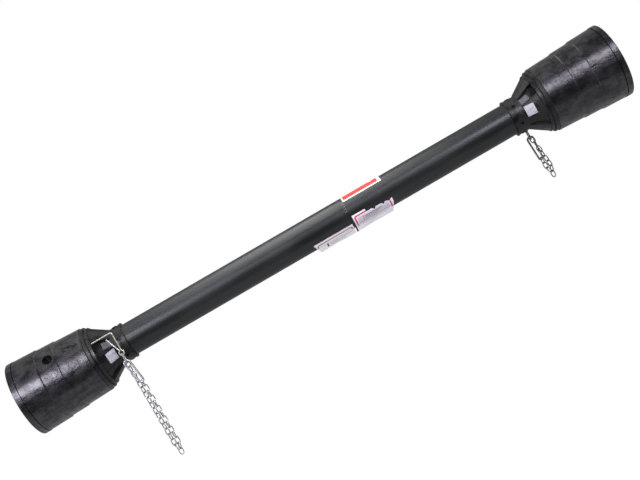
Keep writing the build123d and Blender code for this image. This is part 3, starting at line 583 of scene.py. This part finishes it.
def bareLink():
    look = linkShape
    bpy.ops.mesh.primitive_torus_add(
        major_segments=look["bendSteps"],
        minor_segments=look["wireSteps"],
        major_radius=look["width"] / 2 - look["wire"],
        minor_radius=look["wire"],
    )
    link = bpy.context.active_object
    half = (look["length"] - look["width"]) / 2
    bpy.ops.object.mode_set(mode="EDIT")
    shape = bmesh.from_edit_mesh(link.data)
    for vertex in shape.verts:
        if abs(vertex.co.x) > closeEnough:
            vertex.co.x += math.copysign(half, vertex.co.x)
    for edge in shape.edges:
        reach = abs(edge.verts[0].co.x - edge.verts[1].co.x)
        edge.select_set(reach > look["sideShare"] * half)
    bmesh.update_edit_mesh(link.data)
    bpy.ops.mesh.subdivide(number_cuts=look["sideCuts"])
    shape = bmesh.from_edit_mesh(link.data)
    centre = Vector((0, look["width"] / 2 - look["wire"], 0))
    for vertex in shape.verts:
        if abs(vertex.co.x) < look["weldReach"] * half and vertex.co.y > 0:
            outwards = vertex.co - centre
            outwards.x = 0
            vertex.co += outwards * (look["weldSwell"] - 1)
    bmesh.update_edit_mesh(link.data)
    bpy.ops.object.mode_set(mode="OBJECT")
    return link


# The parts come in the mesh's own order and their points sorted, so that every run is the same
def looseParts(node):
    shape = bmesh.new()
    shape.from_mesh(node.data)
    bmesh.ops.remove_doubles(shape, verts=shape.verts, dist=closeEnough)
    reached = set()
    for first in shape.verts:
        if first in reached:
            continue
        reached.add(first)
        found = [first]
        for vertex in found:
            for edge in vertex.link_edges:
                neighbour = edge.other_vert(vertex)
                if neighbour not in reached:
                    reached.add(neighbour)
                    found.append(neighbour)
        yield np.array(sorted(tuple(vertex.co) for vertex in found))
    shape.free()


def linkTurn(centre, along, across):
    along, across = Vector(along).normalized(), Vector(across)
    facing = along.cross(across).normalized()
    turn = Matrix((along, facing.cross(along), facing)).transposed().to_4x4()
    return Matrix.Translation(Vector(centre)) @ turn


def linkPlaces(nodeName):
    places = [linkTurn(*place) for place in footLinks.get(nodeName, ())]
    for points in looseParts(frame["nodes"][nodeName]):
        if len(points) == cadLinkPoints:
            centre = points.mean(0)
            spread = np.linalg.svd(points - centre, full_matrices=False)[2]
            along, across = (way * np.sign(way[np.abs(way).argmax()]) for way in spread[:2])
            places.append(linkTurn(centre, along, across))
    return places


def chainRun(nodeName, pieceName):
    links = []
    pattern = bareLink()
    for place in sorted(linkPlaces(nodeName), key=lambda found: found.translation.z):
        link = pattern.copy()
        link.data = pattern.data.copy()
        bpy.context.collection.objects.link(link)
        link.data.transform(place)
        links.append(link)
    bpy.data.objects.remove(pattern)
    bpy.ops.object.select_all(action="DESELECT")
    for link in links:
        link.select_set(True)
    bpy.context.view_layer.objects.active = links[0]
    bpy.ops.object.join()
    run = bpy.context.active_object
    run.name = pieceName
    bpy.ops.object.shade_smooth()
    bpy.ops.object.select_all(action="DESELECT")
    dress(run, "chain_zinc")
    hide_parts(nodeName)
    return run


for end in shaftEnds:
    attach(chainRun(end + "_chain_upper", end + "ChainUpper"), end + "_chain")
    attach(chainRun(end + "_chain_lower", end + "ChainLower"), end + "_chain_end")
print("chains linked")


# Coil spring behind each push pin, from the plug on the yoke to the pin: one rigid coil over the
# length of the CAD's spring
pinSpring = {
    "radius": 0.0042,
    "wire": 0.0006,
    "turns": 3,
    "wireSteps": 8,
    "turnSteps": 28,
    "smoothAngle": 50,
}


def coilSpring(end):
    look = pinSpring
    nodeName = end + "_pin_spring"
    low, high = (Vector(corner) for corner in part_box(nodeName))
    middle = (low + high) / 2
    bpy.ops.mesh.primitive_circle_add(vertices=look["wireSteps"], radius=look["wire"])
    spring = bpy.context.active_object
    spring.name = end + "PinSpring"
    for vertex in spring.data.vertices:
        vertex.co = (look["radius"] + vertex.co.x, 0, vertex.co.y)
    wind = spring.modifiers.new("wind", "SCREW")
    wind.steps = wind.render_steps = look["turnSteps"]
    wind.iterations = look["turns"]
    wind.screw_offset = (high.y - low.y - 2 * look["wire"]) / look["turns"]
    bpy.ops.object.modifier_apply(modifier="wind")
    bpy.ops.object.mode_set(mode="EDIT")
    bpy.ops.mesh.select_all(action="SELECT")
    bpy.ops.mesh.remove_doubles(threshold=closeEnough)
    bpy.ops.mesh.fill_holes(sides=0)
    bpy.ops.mesh.normals_make_consistent(inside=False)
    bpy.ops.object.mode_set(mode="OBJECT")
    for vertex in spring.data.vertices:
        across, sideways, along = vertex.co
        vertex.co = (middle.x + across, low.y + look["wire"] + along, middle.z - sideways)
    bpy.ops.object.shade_smooth_by_angle(angle=math.radians(look["smoothAngle"]))
    bpy.ops.object.select_all(action="DESELECT")
    dress(spring, slotOf[nodeName])
    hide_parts(nodeName)
    start, stop = (middle.x, low.y, middle.z), (middle.x, high.y, middle.z)
    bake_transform(spring)
    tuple(start)
    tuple(stop)


for end in shaftEnds:
    coilSpring(end)
print("pin springs wound")


# Labels on the guard tubes, two of them half peeled off: blank forms in plain colours
inks = {
    "paper": shade(0.84, (1.0, 0.97, 0.99)),
    "soiled": shade(0.72, (1.0, 0.94, 0.98)),
    "lilac": shade(0.62, (1.0, 0.91, 1.04)),
    "crimson": (0.54, 0.045, 0.11, 1.0),
    "plum": (0.30, 0.040, 0.090, 1.0),
    "scarlet": (0.80, 0.048, 0.035, 1.0),
    "grey": shade(0.13, (1.0, 0.97, 1.08)),
    "dark": shade(0.035, (1.0, 0.95, 1.0)),
}
printLook = {
    "fixed": {"Specular IOR Level": 0.18},
    "fibre": {"scale": 1500.0, "detail": 3.0},
    "stain": {"scale": 130.0, "detail": 4.0},
    "wear": {"scale": 420.0, "detail": 4.0},
    "noiseMiddle": 0.5,
    "ragged": 0.9,  # millimetres by which an ink's edge wanders
    "blur": 0.22,
    "soiledSpan": (0.48, 0.74),
    "soiledShare": 0.6,
    "wearSpan": (0.56, 0.74),
    "wearShare": 0.45,
    "notchSpan": (0.8, 1.2),
    "frameFade": 3,
    "rough": (0.34, 0.56),
    "fibreRelief": 0.4,
    "relief": 0.0003,
}
# How every sheet hugs the guard tube and then hangs straight down
sheetShape = {
    "radius": 0.03522,
    "thickness": 0.00015,
    "rippleRate": 9,
    "rippleStart": 0.6,
    "smoothAngle": 40,
    "uvPerMetre": 10,
    "blankSpot": (-1, -1),  # where the back and the rims read the print, clear of every ink
}
# Ends are metres along the shaft, angles degrees up from the front, flap and slants metres.
# A tear's points are a share of the length and millimetres down. Frames, fields and notches are
# millimetres along and down: left, top, right, bottom, or a notch's middle and half sizes
labelSheets = {
    "tractorLowerLabel": {
        "body": "tractor_guard",
        "ends": (0.6722, 0.7646),
        "topAngle": -44.5,
        "leaves": -50.0,
        "flap": 0.026,
        "slants": (0.0085, 0.0),
        "wave": 0.0005,
        "grid": (62, 26),
        "tear": ((0, 0), (1, 0)),
        "frames": [("plum", (6.6, 7.0, 88.6, 60.0), 3.6, 2.5)],
        "frameEnd": 14.5,
        "fields": [
            ("grey", 12.0, 14.2, 86.0, 14.9),
            ("dark", 26.0, 14.4, 29.4, 24.0),
            ("grey", 33.0, 18.3, 86.0, 19.3),
            ("grey", 33.0, 22.6, 70.0, 23.4),
        ],
        "notches": [],
    },
    "implementLowerLabel": {
        "body": "implement_guard",
        "ends": (0.7712, 0.8638),
        "topAngle": -16.2,
        "leaves": -50.0,
        "flap": 0.026,
        "slants": (0.0, 0.0092),
        "wave": 0.0006,
        "grid": (120, 34),
        "tear": (
            (0, 0), (0.335, 0.3), (0.345, 7.0), (0.48, 7.6),
            (0.52, 9.5), (0.545, 12.8), (0.575, 8.2), (0.70, 7.8),
            (0.745, 9.0), (0.775, 13.0), (0.81, 8.6), (0.86, 9.0),
            (0.90, 11.5), (0.95, 10.5), (0.97, 8.8), (1, 8.6),
        ),
        "frames": [("crimson", (4.2, 5.6, 86.0, 70.0), 4.2, 3.5)],
        "frameEnd": 33.0,
        "fields": [
            ("lilac", 8.0, 9.5, 82.0, 31.0),
            ("grey", 21.0, 10.4, 21.8, 27.0),
            ("grey", 25.0, 14.2, 66.0, 16.2),
            ("grey", 25.0, 18.0, 60.0, 19.4),
            ("grey", 25.0, 21.6, 55.0, 22.8),
            ("grey", 8.0, 26.4, 80.0, 27.2),
            ("grey", 12.0, 33.0, 76.0, 33.8),
        ],
        "notches": [],
    },
    "implementUpperLabel": {
        "body": "implement_guard",
        "ends": (0.7708, 0.8624),
        "topAngle": 128.0,
        "leaves": 44.3,
        "flap": 0.0,
        "slants": (0.0, 0.0),
        "wave": 0.0,
        "grid": (40, 40),
        "tear": ((0, 0), (1, 0)),
        "frames": [],
        "fields": [
            ("scarlet", 2.9, 24.0, 84.8, 47.6),
            ("grey", 10.0, 8.0, 72.0, 9.2),
            ("grey", 10.0, 12.6, 80.0, 13.8),
            ("grey", 10.0, 17.2, 58.0, 18.4),
        ],
        "notches": [(71.0, 23.5, 5.5, 7.5), (40.0, 23.5, 12.0, 2.0)],
    },
}


def labelPrint(name):
    look, sheet = printLook, labelSheets[name]
    blur, middle = look["blur"], look["noiseMiddle"]
    finish = Finish(name + "Print", look["fixed"])
    spot = finish.node("TexCoord", {}, {}, "UV")
    fibre = finish.noise(**look["fibre"])
    stain = finish.noise(**look["stain"])
    wear = finish.noise(**look["wear"])
    unit = millimetresInMetre / sheetShape["uvPerMetre"]
    across = finish.axis(0, spot) * unit + (wear - middle) * look["ragged"]
    down = finish.axis(1, spot) * unit + (fibre - middle) * look["ragged"]
    soil = finish.step(stain, *look["soiledSpan"]) * look["soiledShare"]
    colour = finish.mix(soil, inks["paper"], inks["soiled"])
    left = 1 - finish.step(wear, *look["wearSpan"]) * look["wearShare"]
    for notchAcross, notchDown, halfAcross, halfDown in sheet["notches"]:
        nearX = (across - notchAcross) / halfAcross
        nearY = (down - notchDown) / halfDown
        left = left * finish.step(nearX * nearX + nearY * nearY, *look["notchSpan"])
    for ink, *sides in sheet["fields"]:
        colour = finish.mix(finish.box(across, down, *sides, blur) * left, colour, inks[ink])
    for ink, sides, radius, width in sheet["frames"]:
        line = finish.roundFrame(across, down, sides, radius, width, blur)
        lowest, fade = sheet["frameEnd"], look["frameFade"]
        line = line * (1 - finish.step(down, lowest - fade, lowest + fade))
        colour = finish.mix(line * left, colour, inks[ink])
    rough = between(look["rough"], stain)
    normal = finish.bump(fibre * look["fibreRelief"] + stain, look["relief"])
    return finish.feed(Base_Color=colour, Roughness=rough, Normal=normal)


def tubeSheet(name, look):
    radius, uvPerMetre = sheetShape["radius"], sheetShape["uvPerMetre"]
    left, right = look["ends"]
    top, leaves = math.radians(look["topAngle"]), math.radians(look["leaves"])
    hugging = radius * (top - leaves)
    columns, rows = look["grid"]
    bpy.ops.mesh.primitive_grid_add(x_subdivisions=columns, y_subdivisions=rows, size=1)
    sheet = bpy.context.active_object
    sheet.name = name
    shares, drops = zip(*look["tear"])
    bpy.ops.object.mode_set(mode="EDIT")
    shape = bmesh.from_edit_mesh(sheet.data)
    printed = shape.loops.layers.uv.verify()
    for vertex in shape.verts:
        share = vertex.co.x + 0.5  # the grid runs from -0.5 to 0.5 both ways
        torn = float(np.interp(share, shares, drops)) / millimetresInMetre
        run = torn + (0.5 - vertex.co.y) * (hugging + look["flap"] - torn)
        past = max(run - hugging, 0)
        loose = past / look["flap"] if look["flap"] else 0
        length = right - left - sum(look["slants"]) * loose
        x = left + look["slants"][0] * loose + share * length
        angle = top - min(run, hugging) / radius
        ripple = math.sin(sheetShape["rippleRate"] * share + sheetShape["rippleStart"])
        out = radius + look["wave"] * loose**2 * ripple
        vertex.co.x = x
        vertex.co.y = -math.cos(angle) * out - math.sin(angle) * past
        vertex.co.z = math.sin(angle) * out - math.cos(angle) * past
        for loop in vertex.link_loops:
            loop[printed].uv = ((x - left) * uvPerMetre, run * uvPerMetre)
    bmesh.update_edit_mesh(sheet.data)
    bpy.ops.object.mode_set(mode="OBJECT")
    front = len(sheet.data.polygons)
    body = sheet.modifiers.new("thickness", "SOLIDIFY")
    body.thickness = sheetShape["thickness"]
    body.offset = -1
    bpy.ops.object.modifier_apply(modifier="thickness")
    for polygon in list(sheet.data.polygons)[front:]:
        for loop in polygon.loop_indices:
            sheet.data.uv_layers.active.data[loop].uv = sheetShape["blankSpot"]
    bpy.ops.object.shade_smooth_by_angle(angle=math.radians(sheetShape["smoothAngle"]))
    bpy.ops.object.select_all(action="DESELECT")
    sheet.data.materials.clear()
    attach(sheet, look["body"])
    return sheet


for labelName, labelLook in labelSheets.items():
    label = tubeSheet(labelName, labelLook)
    label.data.materials.append(labelPrint(labelName))
print(len(labelSheets), "labels on")


# Strip of black tape over the guard's seam, hanging with the labels
seamTape = {
    "body": "implement_guard",
    "ends": (0.7674, 0.7709),
    "topAngle": -8.0,
    "leaves": -50.0,
    "flap": 0.0275,
    "slants": (-0.0004, 0.0002),
    "wave": 0.0002,
    "grid": (4, 40),
    "tear": ((0, 0), (0.5, 1.4), (1, 0.3)),
}
tapeFinish = {
    "fixed": {"Specular IOR Level": 0.5},
    "tones": (shade(0.008), shade(0.022)),
    "cloud": {"scale": 300.0, "detail": 4.0, "stretch": (1, 0.3, 0.3)},
    "toneSpan": (0.4, 0.7),
    "rough": (0.3, 0.5),
    "relief": 0.0003,
}

tape = tubeSheet("seamTape", seamTape)
tape.data.materials.append(twoTones("tapeFilm", tapeFinish))
print("tape on the seam")


# Camera as the photograph was taken: level with the shaft, the picture turned
cameraPlace = {
    "at": (0.690, -2.507, -0.0197),
    "roll": 30.09,
    "lens": 67.0,
    "sensor": 36.0,
    "farthest": 50,
}


def placeCamera():
    look = cameraPlace
    turn = math.radians(look["roll"])
    across = Vector((math.cos(turn), 0, -math.sin(turn)))
    upwards = Vector((math.sin(turn), 0, math.cos(turn)))
    back = Vector((0, -1, 0))
    bpy.ops.object.camera_add(location=look["at"])
    camera = bpy.context.active_object
    basis = Matrix((across, upwards, back)).transposed().to_4x4()
    camera.matrix_world = Matrix.Translation(look["at"]) @ basis
    camera.data.lens = look["lens"]
    camera.data.sensor_width = look["sensor"]
    camera.data.clip_end = look["farthest"]
    bpy.context.scene.camera = camera


# Pale floor well below the shaft. It and the room look white to the camera, while gloss sees a
# dim room in front of the shaft and a lighter one behind it
stageLook = {
    "floorHeight": -0.62,
    "floorCentre": (0.7, 1.6),
    "floorSize": (9.0, 4.6),
    "floorPaint": {
        "Base Color": shade(0.42),
        "Roughness": 1.0,
        "Specular IOR Level": 0.0,
        "Emission Color": (1, 1, 1, 1),
    },
    "floorGlow": 0.84,
    "roomLight": 0.44,
    "frontGloss": 0.06,
    "backGloss": 0.34,
    "glossSpan": (-0.25, 0.55),
}
# One softbox before each bell and a third over the middle: degrees, metres and radiance
lamps = {
    "left": {
        "elevation": 22.5,
        "distance": 3.0,
        "size": (1.35, 1.1),
        "radiance": 17.8,
        "across": -0.93,
        "aim": 0.0,
        "tint": (0.97, 0.95, 1.06),
    },
    "right": {
        "elevation": 27.0,
        "distance": 3.0,
        "size": (1.6, 1.0),
        "radiance": 9.5,
        "across": 2.0,
        "aim": 1.3,
        "tint": (0.97, 0.95, 1.06),
    },
    "above": {
        "elevation": 82.0,
        "distance": 2.4,
        "size": (1.0, 3.1),
        "radiance": 5.4,
        "across": 0.62,
        "aim": 0.62,
        "tint": (1, 1, 1),
    },
}


def makeFloor():
    look = stageLook
    x, y = look["floorCentre"]
    bpy.ops.mesh.primitive_plane_add(size=1, location=(x, y, look["floorHeight"]))
    floor = bpy.context.active_object
    floor.name = "floor"
    floor.scale = (*look["floorSize"], 1)
    bpy.ops.object.transform_apply(location=True, rotation=False, scale=True)
    finish = Finish("floorPaint", look["floorPaint"])
    seen = finish.node("LightPath", {}, {}, "Is Camera Ray")
    finish.feed(Emission_Strength=seen * look["floorGlow"])
    floor.data.materials.append(finish.material)


def lightRoom():
    look = stageLook
    world = bpy.data.worlds.new("room")
    bpy.context.scene.world = world
    world.use_nodes = True
    tree = world.node_tree
    background = tree.nodes["Background"]
    background.inputs["Color"].default_value = (1, 1, 1, 1)
    path = tree.nodes.new("ShaderNodeLightPath")
    heading = tree.nodes.new("ShaderNodeTexCoord")
    split = tree.nodes.new("ShaderNodeSeparateXYZ")
    tree.links.new(heading.outputs["Generated"], split.inputs[0])
    gloss = tree.nodes.new("ShaderNodeMapRange")
    gloss.interpolation_type = "SMOOTHSTEP"
    tree.links.new(split.outputs["Y"], gloss.inputs["Value"])
    gloss.inputs["From Min"].default_value = look["glossSpan"][0]
    gloss.inputs["From Max"].default_value = look["glossSpan"][1]
    gloss.inputs["To Min"].default_value = look["frontGloss"]
    gloss.inputs["To Max"].default_value = look["backGloss"]
    glossy = tree.nodes.new("ShaderNodeMix")  # inputs 2 and 3 are the two numbers it mixes
    tree.links.new(path.outputs["Is Glossy Ray"], glossy.inputs[0])
    glossy.inputs[2].default_value = look["roomLight"]
    tree.links.new(gloss.outputs[0], glossy.inputs[3])
    seen = tree.nodes.new("ShaderNodeMix")
    tree.links.new(path.outputs["Is Camera Ray"], seen.inputs[0])
    tree.links.new(glossy.outputs[0], seen.inputs[2])
    seen.inputs[3].default_value = 1.0
    tree.links.new(seen.outputs[0], background.inputs["Strength"])


def softbox(name):
    look = lamps[name]
    rise = math.radians(look["elevation"])
    aim = Vector((look["aim"], 0, 0))
    away = Vector((0, -math.cos(rise), math.sin(rise)))
    place = Vector((look["across"], 0, 0)) + look["distance"] * away
    bpy.ops.object.light_add(type="AREA", location=place)
    lamp = bpy.context.active_object
    lamp.name = name + "Softbox"
    lamp.rotation_euler = (aim - place).to_track_quat("-Z", "Y").to_euler()
    lamp.data.shape = "RECTANGLE"
    lamp.data.size, lamp.data.size_y = look["size"]
    lamp.data.color = look["tint"]
    lamp.data.energy = look["radiance"] * math.pi * lamp.data.size * lamp.data.size_y


placeCamera()
makeFloor()
lightRoom()
for lampName in lamps:
    softbox(lampName)
bpy.context.scene.view_settings.view_transform = "Standard"
print("camera, floor and lights set")
